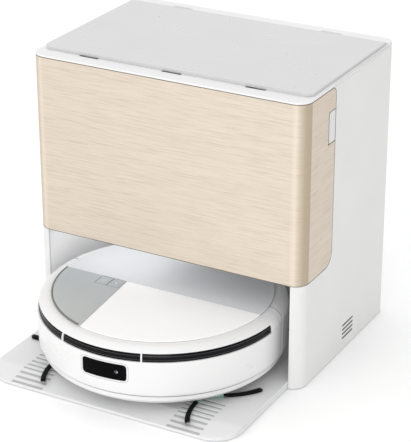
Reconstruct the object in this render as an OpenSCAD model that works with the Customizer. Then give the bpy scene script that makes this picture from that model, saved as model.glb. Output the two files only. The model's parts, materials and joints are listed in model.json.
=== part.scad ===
// Robot vacuum and mop, parked in its self-emptying wash and charging station.
// Millimetres. +Z is up, -Y is the front, and the origin is on the floor
// under the middle of the whole footprint. The robot is drawn parked.

/* [Station] */
// Width of the station
dock_w = 422; // [400:1:460]
// Depth of the station housing, without the ramp
dock_d = 284; // [270:1:320]
// Height of the station to the top of its lid
dock_h = 424; // [400:1:480]
// How far the ramp reaches out in front of the housing
ramp_reach = 172; // [150:1:200]
// Radius of the upright front corners
corner_front = 21; // [16:1:26]
// Radius of the upright back corners
corner_back = 15; // [10:1:20]
// Wall of the outer housing
shell_t = 3; // [2.5:0.1:3.4]
// Height of the underside of the wood front, which is the top of the robot bay
bay_top = 157.5; // [150:0.5:170]
// Width of each leg beside the robot bay
leg_w = 18.4; // [14:0.1:24]
// Depth of the wood front along the sides
wood_wrap = 91; // [70:1:110]
// Thickness of the wood front
wood_t = 3.3; // [3:0.1:3.5]

/* [Lid] */
// Thickness of the lid
lid_t = 4.3; // [4:0.1:5]
// Distance from the front of the housing to the lid
lid_setback = 25; // [20:1:32]
// Distance from each side of the housing to the lid
lid_inset = 5.4; // [4:0.1:8]

/* [Robot] */
// Diameter of the robot
robot_dia = 350; // [346:1:354]
// Height of the robot's top above the ramp
robot_h = 100; // [98:1:104]
// How far the robot's centre stands in front of the housing
robot_out = 6; // [0:1:12]
// Bumper travel
bumper_travel = 2.5; // [1:0.1:2.6]
// Diameter of the drive wheels
wheel_dia = 66; // [62:1:68]
// Reach of a side brush arm from its hub
brush_reach = 78; // [66:1:79]
// Diameter of a mop pad
pad_dia = 116; // [100:1:118]

/* [Hidden] */
$fn = 64;
total_d = dock_d + robot_out + robot_dia / 2;
front_y = total_d / 2 - dock_d;
back_y = total_d / 2;
half_w = dock_w / 2;
pad_t = 1;                      // rubber floor pads
deck_z = dock_h - lid_t - 3.2;  // underside of the top deck
lid_z = dock_h - lid_t;         // underside of the lid
bay_x = half_w - leg_w;         // inner face of each leg
bay_d = 192;                    // depth of the bay behind the front plane
ramp_z = 12;                    // level part of the ramp
ramp_tip = 5;                   // height of the ramp's front edge
ramp_corner = 40;
lid_back = dock_d - 21;         // back edge of the lid from the front plane
hinge_y = front_y + lid_back + 3.4;
hinge_z = lid_z + lid_t / 2;
hinge_r = 2;                    // lid knuckle
hinge_pin_r = 0.9;
pin_gap = 0.05;                 // running gap round the hinge pins
pin_reach = 8;                  // how far a hinge pin's bore goes into the deck at each end
hinge_x = [-120, 120];
knuckle_l = 30;
tank_size = [126, 180, 199];
tank_x = 135;                   // middle of a water tank
tank_y = 124;                   // middle of a water tank behind the front plane
tank_low = 205;
tank_r = 5;
tank_t = 2.5;
tank_top = tank_low + tank_size.z;
well_grow = [3, 4];             // the deck's openings over the tanks are this much larger
bag_window = [[-60, 185], [60, 385]];
panel_x = half_w - 46;          // half width of the opening in the back wall
panel_z = [60, 380];
inlet_x = 13.8;
inlet_z = [74.2, 93.8];
contact_x = [-38, 38];          // charge contacts
liner_t = 2.5;
base_top = 9;
tray_low = ramp_z - 4;          // recess for the wash tray
tray_x = 128;
tray_y = [26, 150];             // from the robot's centre

rob_y = front_y - robot_out;
rob_r = robot_dia / 2;
rob_top = ramp_z + robot_h;
plate_r = 155.2;                // round top plate of the robot
plate_t = 1.8;
body_z = 24;                    // underside of the robot's chassis
lip_z = [27, 36];               // white lip below the bumper
lip_r = 156;                    // inner edge of the lip
bump_z = 38;                    // lower edge of the bumper
post_xy = [[80, -119], [143, -5], [126, 68]];   // posts under the round top
shoulder_r = 16;                // rounding at the top of the robot's side
shell_top = rob_top - plate_t - 0.3;
wall_t = 2.5;                   // robot shell walls
slot_z = [90, 102];             // dark sensor slot round the bumper
slot_depth = 9;                 // how far in from the outside the slot cuts
strut_a = 20.6;                 // bridges across the slot, from straight ahead
window_a = 3.1;                 // the camera window sits a little right of straight ahead
window_z = 71;
window_size = [66, 24];
bumper_end = 24;                // how far the bumper wraps behind the robot's centre
split_y = -6.4;                 // line between the rear cover and the front plates
grey_from = [-54.6, split_y];   // back end of the grey quadrant's right edge
grey_a = 5.3;                   // slant of that edge
button_size = [18, 22];
button_x = [-84.4, -65];
button_y = -18.4;
wheel_x = 118;
wheel_y = 17;
wheel_w = 22;
wheel_gap = 0.3;                // between the tyres and the ramp
axle_z = ramp_z + wheel_dia / 2 + wheel_gap;
arm_pivot = [-32, 74];          // y and z of the suspension pivot, y from the robot's centre
hub_xy = [114, -82];            // side brush hub
arm_z = 13.4;                   // underside of a side brush's arms
arm_w = 4.4;
arm_bow = 8;                    // how far an arm bows out from a straight line
mop_xy = [62, 88];
caster_y = -126;
caster_r = 14.5;
caster_trail = 4;
caster_z = ramp_z + caster_r + wheel_gap;
port_z = 62;                    // dust port between the robot and the station
port_w = 24;
duct_w = 44;
duct_t = 3;
duct_top = 212;
collar_h = 12;                  // how far the duct's outlet stands up to the bag
bag_y = 94;                     // middle of the dust bag behind the front plane
suction_y = 238;
brush_yz = [-50, 38.5];         // main brush axis
brush_r = 21.5;
brush_l = 170;
fan_xy = [92, -68];
rib_x = 123;                    // middle of each patch of grip ribs on the ramp
rib_pitch = 10.2;
rib_n = 8;
rib_from = 95;                  // distance of the first groove in front of the housing
groove_w = 4.4;
groove_depth = 1.3;
groove_l = 50;
slope_from = 137;               // where the ramp starts to slope down
ramp_slope = atan((ramp_z - ramp_tip) / (ramp_reach - slope_from));
tag_t = 0.9;
tag_w = 21.7;
tag_z = [339.3, 385.7];
vent_n = 4;
vent_at = [136, 18];            // first vent slot: behind the front plane, above the floor
vent_pitch = 6.7;
vent_size = [36, 2.4];

// ---------- shared shapes ----------

// Rounded rectangle from y = 0 back to y = d, centred on x, with its own front and back radii.
module footprint(w, d, rf, rb) {
  translate([-w / 2 + rf, 0]) square([w - 2 * rf, d - rb]);
  translate([-w / 2 + rb, rf]) square([w - 2 * rb, d - rf]);
  translate([-w / 2, rf]) square([w, d - rf - rb]);
  for (side = [-1, 1]) {
    translate([side * (w / 2 - rf), rf]) circle(r = rf);
    translate([side * (w / 2 - rb), d - rb]) circle(r = rb);
  }
}

// The station's outline, moved in by a distance.
module dock_outline(inset = 0) {
  translate([0, front_y + inset])
    footprint(dock_w - 2 * inset, dock_d - 2 * inset, corner_front - inset, corner_back - inset);
}

// A band of the station's wall between two insets.
module dock_band(inset_out, inset_in) {
  difference() {
    dock_outline(inset_out);
    dock_outline(inset_in);
  }
}

module rounded_square(size, r) {
  translate([-size.x / 2 + r, -size.y / 2]) square([size.x - 2 * r, size.y]);
  translate([-size.x / 2, -size.y / 2 + r]) square([size.x, size.y - 2 * r]);
  for (sx = [-1, 1], sy = [-1, 1])
    translate([sx * (size.x / 2 - r), sy * (size.y / 2 - r)]) circle(r = r);
}

// Side view of the wood front: square at the front, rounded where it meets the housing.
module wrap_profile(gap = 0) {
  low = bay_top + 0.2 - gap;
  high = deck_z - 0.3 + gap;
  back = wood_wrap + gap;
  r_low = 20;
  r_high = 11;
  translate([-5, low]) square([back - r_low + 5, high - low]);
  translate([-5, low + r_low]) square([back + 5, high - low - r_low - r_high]);
  translate([-5, low + r_low]) square([back - r_high + 5, high - low - r_low]);
  translate([back - r_low, low + r_low]) circle(r = r_low);
  translate([back - r_high, high - r_high]) circle(r = r_high);
}

module wrap_volume(gap = 0) {
  translate([-half_w - 1, front_y, 0])
    rotate([90, 0, 90])
      linear_extrude(dock_w + 2)
        wrap_profile(gap);
}

module block(low, high) {
  translate(low) cube(high - low);
}

module at_robot() {
  translate([0, rob_y, 0]) children();
}

// ---------- station ----------

module housing_shell() color("white") {
  difference() {
    translate([0, 0, pad_t]) linear_extrude(deck_z - pad_t) dock_band(0, shell_t);
    block([-bay_x, front_y - 1, 0], [bay_x, front_y + shell_t + 1, bay_top + 0.1]);
    wrap_volume(0.3);
    block([-panel_x, back_y - shell_t - 1, panel_z[0]], [panel_x, back_y + 1, panel_z[1]]);
    for (row = [0:vent_n - 1])
      translate([half_w - shell_t - 1, front_y + vent_at.x, vent_at.y + row * vent_pitch])
        cube([shell_t + 2, vent_size.x, vent_size.y]);
  }
}

// The frame behind the wood front, with a flange lapped inside the housing.
module front_frame() color("gainsboro") {
  inset = wood_t + 0.4;
  reach = wood_wrap + 12;
  difference() {
    translate([0, 0, bay_top + 3])
      linear_extrude(deck_z - bay_top - 3)
        dock_band(inset, inset + 2.6);
    block([-half_w, front_y + reach, 0], [half_w, back_y + 1, dock_h]);
    block(
      [bag_window[0].x, front_y - 1, bag_window[0].y],
      [bag_window[1].x, front_y + 12, bag_window[1].y]
    );
  }
  for (side = [-1, 1], z = [190, 300, 400])
    translate([side * (half_w - shell_t - 0.8) - 0.8, front_y + wood_wrap + 4, z - 5])
      cube([1.6, 8, 10]);
}

module top_deck() color("whitesmoke") {
  difference() {
    union() {
      translate([0, 0, deck_z]) linear_extrude(lid_z - deck_z) dock_outline();
      difference() {
        translate([0, 0, lid_z]) linear_extrude(lid_t - 0.4) dock_outline(0.6);
        block([-half_w, front_y - 1, lid_z - 1], [half_w, hinge_y - 2.4, dock_h + 1]);
        for (x = hinge_x)
          translate([x - knuckle_l / 2 - 0.3, hinge_y - 4, lid_z]) cube([knuckle_l + 0.6, 6.6, lid_t]);
      }
    }
    for (side = [-1, 1]) tank_well(side);
    block([-58, front_y + 34, deck_z - 1], [58, front_y + 214, lid_z + 1]);
    for (x = [-130, 0, 126])
      translate([x - 15, front_y + lid_setback - 4, lid_z - 1.6]) cube([30, 7, 2.6]);
    for (x = hinge_x)
      hinge_rod(x, hinge_pin_r, knuckle_l + 2 * pin_reach);
  }
}

// A rod along a hinge's axis.
module hinge_rod(x, r, length) {
  translate([x - length / 2, hinge_y, hinge_z]) rotate([0, 90, 0]) cylinder(r = r, h = length);
}

module tank_well(side) {
  translate([side * tank_x, front_y + tank_y, deck_z - 1])
    linear_extrude(lid_z - deck_z + 2)
      rounded_square([tank_size.x, tank_size.y] + well_grow, 12);
}

module bay_liner() color("gainsboro") {
  front = front_y + shell_t + 1.6;
  back = front_y + bay_d;
  top = bay_top + liner_t;
  block([-bay_x - liner_t, front, base_top], [-bay_x, back, top]);
  block([bay_x, front, base_top], [bay_x + liner_t, back, top]);
  block([-bay_x - 0.1, front_y + shell_t + 4, bay_top], [bay_x + 0.1, back, top]);
  difference() {
    block([-bay_x - 0.1, back - liner_t, base_top], [bay_x + 0.1, back, bay_top + 0.1]);
    square_bore(back - liner_t - 1, liner_t + 2, duct_w - 2 * duct_t);
  }
}

// A square bore or tube along Y at the height of the dust port.
module square_bore(y, length, w) {
  translate([-w / 2, y, port_z - w / 2]) cube([w, length, w]);
}

// Plate under the housing: two side strips and the floor behind the bay.
module base_pan() color("silver") {
  difference() {
    translate([0, 0, pad_t]) linear_extrude(base_top - pad_t) dock_outline(shell_t + 0.1);
    block([-bay_x, front_y - 1, 0], [bay_x, front_y + bay_d, base_top + 1]);
  }
}

// Height of the ramp's top at a distance in front of the housing.
function ramp_at(out) = ramp_z - max(0, out - slope_from) * tan(ramp_slope);

module ramp_tray() color("gainsboro") {
  half = bay_x - 0.4;
  difference() {
    intersection() {
      translate([-half, front_y, 0])
        rotate([90, 0, 90])
          linear_extrude(2 * half)
            ramp_profile();
      translate([0, front_y - ramp_reach, 0])
        linear_extrude(20)
          footprint(2 * half, ramp_reach + bay_d, ramp_corner, 2);
    }
    block([-tray_x, rob_y + tray_y[0], tray_low], [tray_x, rob_y + tray_y[1], ramp_z + 1]);
    for (side = [-1, 1], i = [0:rib_n - 1])
      groove(side, rib_from + i * rib_pitch);
  }
}

// Side view of the ramp and the bay's floor.
module ramp_profile() {
  end = bay_d - 3;
  polygon([
    [-ramp_reach, pad_t], [end, pad_t], [end, ramp_z],
    [-slope_from, ramp_z], [-ramp_reach, ramp_tip]
  ]);
}

// One groove of a rib patch, at a distance in front of the housing.
module groove(side, out) {
  translate([side * rib_x - groove_l / 2, front_y - out - groove_w, ramp_at(out) - groove_depth])
    rotate([out > slope_from ? ramp_slope : 0, 0, 0])
      cube([groove_l, groove_w, groove_depth + 3]);
}

// Lift-out tray that the mop pads stand on, with scrubbing ribs and a drain.
module wash_tray() color("darkgray") {
  gap = 0.4;
  difference() {
    block(
      [-tray_x + gap, rob_y + tray_y[0] + gap, tray_low],
      [tray_x - gap, rob_y + tray_y[1] - gap, tray_low + 1.6]
    );
    translate([0, rob_y + tray_y[1] - 12, tray_low - 1]) cylinder(r = 7, h = 4);
  }
  for (side = [-1, 1], a = [0:30:330])
    translate([side * mop_xy.x, rob_y + mop_xy.y, tray_low + 1])
      rotate([0, 0, a])
        translate([14, -1.2, 0])
          cube([36, 2.4, 2.6]);
}

module floor_pads() color("dimgray") {
  for (side = [-1, 1]) {
    for (y = [front_y + 30, back_y - 30])
      translate([side * (half_w - 16), y, 0]) cylinder(r = 8, h = pad_t);
    for (y = [front_y - ramp_reach + 45, front_y + 20])
      translate([side * 150, y, 0]) cylinder(r = 10, h = pad_t);
  }
}

module rear_panel() color("whitesmoke") {
  difference() {
    block(
      [-panel_x + 0.3, back_y - shell_t, panel_z[0] + 0.3],
      [panel_x - 0.3, back_y, panel_z[1] - 0.3]
    );
    for (i = [0:9])
      block([-40, back_y - shell_t - 1, 300 + i * 6], [40, back_y + 1, 302.6 + i * 6]);
    block(
      [-inlet_x - 0.2, back_y - shell_t - 1, inlet_z[0] - 0.2],
      [inlet_x + 0.2, back_y + 1, inlet_z[1] + 0.2]
    );
  }
}

module tank_body(side) {
  translate([side * tank_x, front_y + tank_y, tank_low]) difference() {
    linear_extrude(tank_size.z) rounded_square([tank_size.x, tank_size.y], tank_r);
    translate([0, 0, tank_t])
      linear_extrude(tank_size.z)
        rounded_square([tank_size.x - 2 * tank_t, tank_size.y - 2 * tank_t], tank_r - tank_t);
  }
}

module clean_tank() color("lightblue") tank_body(-1);
module dirty_tank() color("lightgray") tank_body(1);

// Tank covers with a carrying bridge and a filler cap each.
module tank_caps() color("whitesmoke") {
  for (side = [-1, 1])
    translate([side * tank_x, front_y + tank_y, tank_top]) {
      linear_extrude(3) rounded_square([tank_size.x, tank_size.y], tank_r);
      translate([0, 30 - tank_size.y / 2, 2.8]) cylinder(r = 17, h = 5.4);
      difference() {
        translate([-44, 8, 2.8]) cube([88, 16, 10]);
        translate([-36, 7, 2.9]) cube([72, 18, 6.2]);
      }
    }
}

module dust_bag() color("ivory") {
  translate([0, front_y + bag_y, 236]) linear_extrude(142) rounded_square([104, 118], 22);
}

module dust_bag_collar() color("seagreen") {
  translate([0, front_y + bag_y, duct_top + collar_h]) difference() {
    union() {
      linear_extrude(3) rounded_square([112, 126], 6);
      translate([0, 0, 3]) cylinder(r = 26, h = 9);
    }
    translate([0, 0, -1]) cylinder(r = 20, h = 14);
  }
}

module suction_housing() color("darkslategray") {
  translate([0, front_y + suction_y, 236]) difference() {
    cylinder(r = 42, h = 70);
    translate([0, 0, 3]) cylinder(r = 38, h = 64);
    translate([0, 0, 60]) cylinder(r = 16, h = 12);
    translate([0, 0, -1]) cylinder(r = 3.05, h = 6);
  }
}

// Backplate with radial blades round a hub.
module fan_wheel(r, h, blades) {
  cylinder(r = r, h = 2);
  cylinder(r = r * 0.26, h = h);
  for (i = [0:blades - 1])
    rotate([0, 0, i * 360 / blades]) translate([r * 0.2, -0.6, 1.5]) cube([r * 0.76, 1.2, h - 2.5]);
}

module dock_impeller() color("gray")
  translate([0, front_y + suction_y, 236]) {
    translate([0, 0, 10]) fan_wheel(34, 30, 9);
    cylinder(r = 3, h = 12);
  }

// Square dust path: from the mouth in the bay's back wall, up, forward and up to the bag's collar.
module evac_duct() color("darkgray") {
  difference() {
    duct_path(0);
    duct_path(duct_t);
    square_bore(front_y + bay_d - 1, duct_t + 3, duct_w - 2 * duct_t);
  }
}

// The duct's solid path, with its walls moved in by a distance.
module duct_path(inset) {
  half = duct_w / 2 - inset;
  y0 = front_y + bay_d + inset;
  y1 = front_y + bay_d + duct_w + duct_t - inset;
  block([-half, y0, port_z - half], [half, y1, duct_top - inset]);
  y2 = front_y + bag_y - half;
  block([-half, y2, duct_top - duct_w + inset], [half, y1, duct_top - inset]);
  block([-half, y2, duct_top - duct_w / 2], [half, y2 + 2 * half, duct_top + collar_h + inset]);
}

module dock_board() color("green") {
  block([-150, back_y - 14, 176], [-60, back_y - 12.4, 256]);
  block([-140, back_y - 28, 196], [-110, back_y - 14, 226]);
  for (i = [0:3]) block([-98 + i * 9, back_y - 22, 184], [-92 + i * 9, back_y - 14, 192]);
}

module power_inlet() color("black") {
  difference() {
    block([-inlet_x, back_y - 22, inlet_z[0]], [inlet_x, back_y, inlet_z[1]]);
    block([-10.5, back_y - 16, 77], [10.5, back_y + 1, 91]);
  }
  for (x = [-5, 5]) translate([x, back_y - 17, 84]) rotate([-90, 0, 0]) cylinder(r = 1.2, h = 12);
}

module charge_contacts() color("goldenrod") {
  for (x = contact_x)
    block([x - 6.5, rob_y + rob_r + 0.5, 31], [x + 6.5, front_y + bay_d - liner_t, 41]);
}

module hinge_pins() color("silver") {
  for (x = hinge_x)
    hinge_rod(x, hinge_pin_r - pin_gap, knuckle_l + 2 * pin_reach - 1);
}

module lid() color("white") {
  difference() {
    union() {
      translate([0, front_y + lid_setback, lid_z + 0.05])
        linear_extrude(lid_t - 0.05)
          footprint(dock_w - 2 * lid_inset, lid_back - lid_setback, 12, 4);
      for (x = hinge_x) {
        hinge_rod(x, hinge_r, knuckle_l);
        translate([x - knuckle_l / 2, hinge_y - 5, hinge_z - 1.2]) cube([knuckle_l, 4.5, 2.4]);
      }
    }
    for (x = hinge_x)
      hinge_rod(x, hinge_pin_r, 2 * knuckle_l);
  }
}

module wood_front() color("burlywood") {
  difference() {
    intersection() {
      translate([0, 0, bay_top - 5])
        linear_extrude(dock_h - bay_top)
          dock_band(0, wood_t);
      wrap_volume();
    }
    tag_block();
  }
}

module tag_block() {
  back = front_y + wood_wrap;
  block([half_w - tag_t, back - tag_w - 0.3, tag_z[0] - 0.3], [half_w + 0.1, back + 1, tag_z[1] + 0.3]);
}

module fabric_tag() color("whitesmoke")
  translate([half_w - tag_t, front_y + wood_wrap - tag_w, tag_z[0]])
    cube([tag_t, tag_w, tag_z[1] - tag_z[0]]);

// ---------- robot ----------

// A half-plane in front of (or behind) a line across the robot, as a block.
module robot_half(y0, y1) {
  block([-rob_r - 5, y0, 0], [rob_r + 5, y1, rob_top + 20]);
}

// Points of the rounding over the robot's shoulder.
function shoulder(r, n = 10) = [
  for (a = [0:90 / n:90])
    [rob_r - shoulder_r + r * cos(a), shell_top - shoulder_r + r * sin(a)]
];
function reversed(list) = [for (i = [len(list) - 1:-1:0]) list[i]];

// Wall section shared by the bumper and the rear shell, from a lower edge up and over the shoulder.
module side_wall(low) {
  inner = plate_r - 3.2;
  polygon(concat(
    [[rob_r - 3, low], [rob_r, low + 6]],
    shoulder(shoulder_r),
    [[inner, shell_top], [inner, shell_top - wall_t]],
    reversed(shoulder(shoulder_r - wall_t)),
    [[rob_r - wall_t, low + 6.5], [rob_r - wall_t - 3, low]]
  ));
}

module bumper() color("white") at_robot() {
  difference() {
    rotate_extrude($fn = 180) side_wall(bump_z);
    robot_half(bumper_end, rob_r + 10);
    difference() {
      slot_ring(rob_r - slot_depth, rob_r + 2);
      for (a = [-strut_a, strut_a])
        rotate([0, 0, a - 90])
          translate([rob_r - 12, -1.1, slot_z[0] - 2])
            cube([20, 2.2, slot_z[1] - slot_z[0] + 4]);
    }
    window_cut(window_size, 5);
  }
}

// The slot's ring, cut back near the bumper's ends.
module slot_ring(r_in, r_out) {
  difference() {
    translate([0, 0, slot_z[0]]) difference() {
      cylinder(r = r_out, h = slot_z[1] - slot_z[0], $fn = 180);
      translate([0, 0, -1]) cylinder(r = r_in, h = 20, $fn = 180);
    }
    robot_half(-8, rob_r + 10);
  }
}

module window_cut(size, r) {
  rotate([0, 0, window_a])
    translate([0, -rob_r + 14, window_z])
      rotate([90, 0, 0])
        linear_extrude(20)
          rounded_square(size, r);
}

module sensor_band() color("black") at_robot() {
  near = shoulder_r - wall_t - 0.1;
  far = near - 1.8;
  low = slot_z[0] - 3;
  intersection() {
    rotate_extrude($fn = 180)
      polygon(concat(
        [[rob_r - shoulder_r + near, low]],
        shoulder(near),
        reversed(shoulder(far)),
        [[rob_r - shoulder_r + far, low]]
      ));
    block([-rob_r, -rob_r, low], [rob_r, -6, slot_z[1] + 3]);
  }
}

// Dark glass that follows the bumper's curve.
module camera_window() color("black") at_robot() {
  intersection() {
    difference() {
      cylinder(r = rob_r - 0.4, h = 100, $fn = 180);
      translate([0, 0, -1]) cylinder(r = rob_r - wall_t, h = 110, $fn = 180);
    }
    window_cut(window_size - [0.4, 0.4], 4.8);
  }
}

module camera_module() color("dimgray") at_robot() {
  rotate([0, 0, window_a]) translate([0, -rob_r + 9, window_z]) rotate([90, 0, 0]) {
    translate([-26, -9, -3]) cube([52, 18, 4]);
    translate([16, 0, 0.5]) cylinder(r = 5, h = 3.2);
    translate([-14, 0, 0.5]) cylinder(r = 3.5, h = 3.2);
  }
}

module robot_chassis() color("white") at_robot() {
  for (side = [-1, 1]) {
    translate([side * 98 - 2, arm_pivot[0] - 7, body_z + 2]) cube([4, 14, arm_pivot[1] + 4 - body_z]);
    translate([side * 98, arm_pivot[0], arm_pivot[1]])
      rotate([0, side * 90, 0])
        cylinder(r = 3, h = 8.6);
    for (at = post_xy)
      translate([side * at.x, at.y, body_z + 2]) cylinder(r = 4, h = rob_top - plate_t - body_z - 2.1);
  }
  translate([0, caster_y, 0]) difference() {
    translate([0, 0, body_z + 1]) cylinder(r = 25, h = 33);
    translate([0, 0, body_z - 1]) cylinder(r = 22, h = 26);
    translate([0, 0, 40]) cylinder(r = 4.06, h = 30);
  }
  difference() {
    union() {
      translate([0, 0, body_z]) cylinder(r = lip_r + 4, h = 3, $fn = 180);
      rotate_extrude($fn = 180)
        polygon([
          [lip_r, body_z], [lip_r + 8, body_z], [rob_r - 5, lip_z[0] + 3],
          [rob_r - 5, lip_z[1]], [lip_r, lip_z[1]]
        ]);
    }
    chassis_openings();
  }
}

module chassis_openings() {
  for (side = [-1, 1]) {
    block([side * wheel_x - 15, wheel_y - 41, 0], [side * wheel_x + 15, wheel_y + 41, body_z + 4]);
    translate([side * hub_xy.x, hub_xy.y, 0]) cylinder(r = 11, h = body_z + 12);
    translate([side * mop_xy.x, mop_xy.y, 0]) cylinder(r = 12, h = body_z + 4);
  }
  translate([-brush_l / 2 - 3, brush_yz[0] - brush_r - 4, 0])
    cube([brush_l + 6, 2 * brush_r + 8, body_z + 4]);
  translate([0, caster_y, 0]) cylinder(r = 22, h = body_z + 4);
  for (x = contact_x)
    block([x - 9, 152, 26], [x + 9, rob_r, 46]);
}

module robot_rear_shell() color("white") at_robot() {
  difference() {
    rotate_extrude($fn = 180) side_wall(lip_z[1]);
    robot_half(-rob_r - 10, bumper_end + bumper_travel + 0.4);
    square_bore(rob_r - 10, 20, port_w + 1.2);
    for (x = contact_x)
      block([x - 7.5, 150, 20], [x + 7.5, rob_r + 5, 42.5]);
  }
}

// Sector plates that make up the round top.
module top_plate() {
  translate([0, 0, rob_top - plate_t]) cylinder(r = plate_r, h = plate_t, $fn = 180);
}

// The part of the robot in front of the line between its top plates.
module front_half(gap) {
  robot_half(-rob_r - 5, split_y + gap);
}

// The side of the grey quadrant's edge away from that quadrant.
module right_of_grey(gap) {
  translate([grey_from.x, grey_from.y, 0]) rotate([0, 0, grey_a])
    block([-gap, -rob_r, 0], [2 * rob_r, 20, rob_top + 5]);
}

module rear_cover() color("whitesmoke") at_robot() difference() {
  top_plate();
  front_half(0.2);
}

module front_plate() {
  intersection() {
    top_plate();
    front_half(-0.2);
  }
}

module white_panel() color("white") at_robot() intersection() {
  front_plate();
  right_of_grey(0);
}

module grey_panel() color("silver") at_robot() difference() {
  front_plate();
  right_of_grey(0.4);
  for (x = button_x)
    translate([x, button_y, rob_top - 5]) linear_extrude(9) rounded_square(button_size + [0.6, 0.6], 2);
}

module button(x) {
  translate([x, rob_y + button_y, rob_top - plate_t]) {
    linear_extrude(plate_t) rounded_square(button_size, 1.7);
    translate([0, 0, -1.4]) cylinder(r = 3, h = 1.5);
  }
}

module power_button() color("gainsboro") button(button_x[0]);
module home_button() color("gainsboro") button(button_x[1]);

module robot_board() color("green") at_robot() {
  block([-112, -68, 101.4], [-24, 0, 103]);
  block([-60, -60, 103], [-44, -44, 104.6]);
  block([-104, -62, 98], [-84, -46, 101.4]);
}

module battery() color("darkslateblue") at_robot()
  block([-62, -108, 62], [62, -80, 98]);

module dust_bin() color("lightsteelblue") at_robot() {
  difference() {
    union() {
      block([-78, -18, 50], [78, 62, 99]);
      square_bore(60, 110, port_w);
    }
    block([-75.5, -15.5, 52.5], [75.5, 59.5, 100]);
    block([-60, -19, 56], [60, -14, 92]);
    square_bore(50, 130, port_w - 4);
  }
}

module fan_housing() color("dimgray") at_robot()
  translate([fan_xy.x, fan_xy.y, 66]) difference() {
    cylinder(r = 24, h = 34);
    translate([0, 0, 2.5]) cylinder(r = 21.5, h = 29);
    translate([0, 0, 30]) cylinder(r = 9, h = 6);
    translate([0, 0, -1]) cylinder(r = 1.55, h = 6);
  }

module robot_impeller() color("lightgray")
  translate([fan_xy.x, rob_y + fan_xy.y, 0]) {
    translate([0, 0, 73]) fan_wheel(18.5, 16, 9);
    translate([0, 0, 66.5]) cylinder(r = 1.5, h = 8);
  }

// Cage over the main brush, open underneath.
module brush_guard() color("lightgray") at_robot() {
  y = brush_yz[0];
  difference() {
    block([-brush_l / 2 - 8, y - brush_r - 8, body_z + 3.2], [brush_l / 2 + 8, y + brush_r + 8, 64]);
    block([-brush_l / 2 - 5, y - brush_r - 3, 0], [brush_l / 2 + 5, y + brush_r + 3, 61.5]);
    for (x = [-1, 1])
      translate([x * (brush_l / 2 + 6.5) - 3, y, brush_yz[1]])
        rotate([0, 90, 0])
          cylinder(r = 3.06, h = 6);
  }
}

module main_brush() color("seagreen") at_robot()
  translate([-brush_l / 2, brush_yz[0], brush_yz[1]]) rotate([0, 90, 0]) {
    cylinder(r = 13, h = brush_l);
    translate([0, 0, -7.5]) cylinder(r = 3, h = brush_l + 15);
    for (a = [0:60:300])
      rotate([0, 0, a])
        translate([12, -1.3, 2])
          cube([brush_r - 12.2, 2.6, brush_l - 4]);
  }

module side_brush_motors() color("dimgray") at_robot() {
  for (side = [-1, 1]) translate([side * hub_xy.x, hub_xy.y, 40]) difference() {
    union() {
      cylinder(r = 12, h = 22);
      translate([-9, -7, -3]) cube([18, 14, 3.2]);
    }
    translate([0, 0, -4]) cylinder(r = 2.56, h = 14);
  }
}

// One bristle arm, bowed into an arc from the hub to its tip.
module bristle_arm() {
  bend_r = (pow(brush_reach / 2, 2) + pow(arm_bow, 2)) / (2 * arm_bow);
  intersection() {
    translate([brush_reach / 2, bend_r - arm_bow, 0]) difference() {
      cylinder(r = bend_r + arm_w / 2, h = 2.2, $fn = 180);
      translate([0, 0, -1]) cylinder(r = bend_r - arm_w / 2, h = 5, $fn = 180);
    }
    translate([6, -arm_bow - arm_w, -1]) cube([brush_reach - 6 - arm_w / 3, arm_bow + arm_w * 2, 5]);
  }
}

module side_brush(side, turn) color("black") at_robot()
  translate([side * hub_xy.x, hub_xy.y, arm_z]) {
    translate([0, 0, -0.4]) cylinder(r = 9, h = 5.6);
    translate([0, 0, 4]) cylinder(r = 5, h = 17);
    translate([0, 0, 20]) cylinder(r = 2.5, h = 15);
    for (a = [0, 120, 240]) rotate([0, 0, turn + a]) bristle_arm();
  }

module left_side_brush() side_brush(-1, -79);
module right_side_brush() side_brush(1, -80);

module mop_gearboxes() color("dimgray") at_robot() {
  for (side = [-1, 1]) translate([side * mop_xy.x, mop_xy.y, 30]) difference() {
    cylinder(r = 20, h = 18);
    translate([0, 0, -1]) cylinder(r = 4.06, h = 15);
  }
  block([-43, mop_xy.y - 8, 33], [43, mop_xy.y + 8, 46]);
}

module mop_plate(side) color("white") at_robot()
  translate([side * mop_xy.x, mop_xy.y, 0]) {
    translate([0, 0, 18.2]) cylinder(r = pad_dia / 2 - 5, h = 2.6);
    translate([0, 0, 20]) cylinder(r = 10, h = 8);
    translate([0, 0, 20]) cylinder(r = 4, h = 20);
  }

module mop_pad(side) color("lightgray") at_robot()
  translate([side * mop_xy.x, mop_xy.y, ramp_z + 0.4]) cylinder(r = pad_dia / 2, h = 5.8, $fn = 96);

module left_mop_plate() mop_plate(-1);
module right_mop_plate() mop_plate(1);
module left_mop_pad() mop_pad(-1);
module right_mop_pad() mop_pad(1);

module water_reservoir() color("lightblue") at_robot() {
  difference() {
    intersection() {
      translate([0, 0, 77]) cylinder(r = 150, h = 23, $fn = 120);
      block([-120, 70, 60], [120, 160, 110]);
    }
    intersection() {
      translate([0, 0, 79.5]) cylinder(r = 147.5, h = 40, $fn = 120);
      block([-117.5, 72.5, 60], [117.5, 160, 110]);
    }
  }
}

module robot_contacts() color("goldenrod") at_robot() {
  for (x = contact_x)
    block([x - 7, 158.3, 27], [x + 7, rob_r + 0.2, 41.5]);
}

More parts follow.
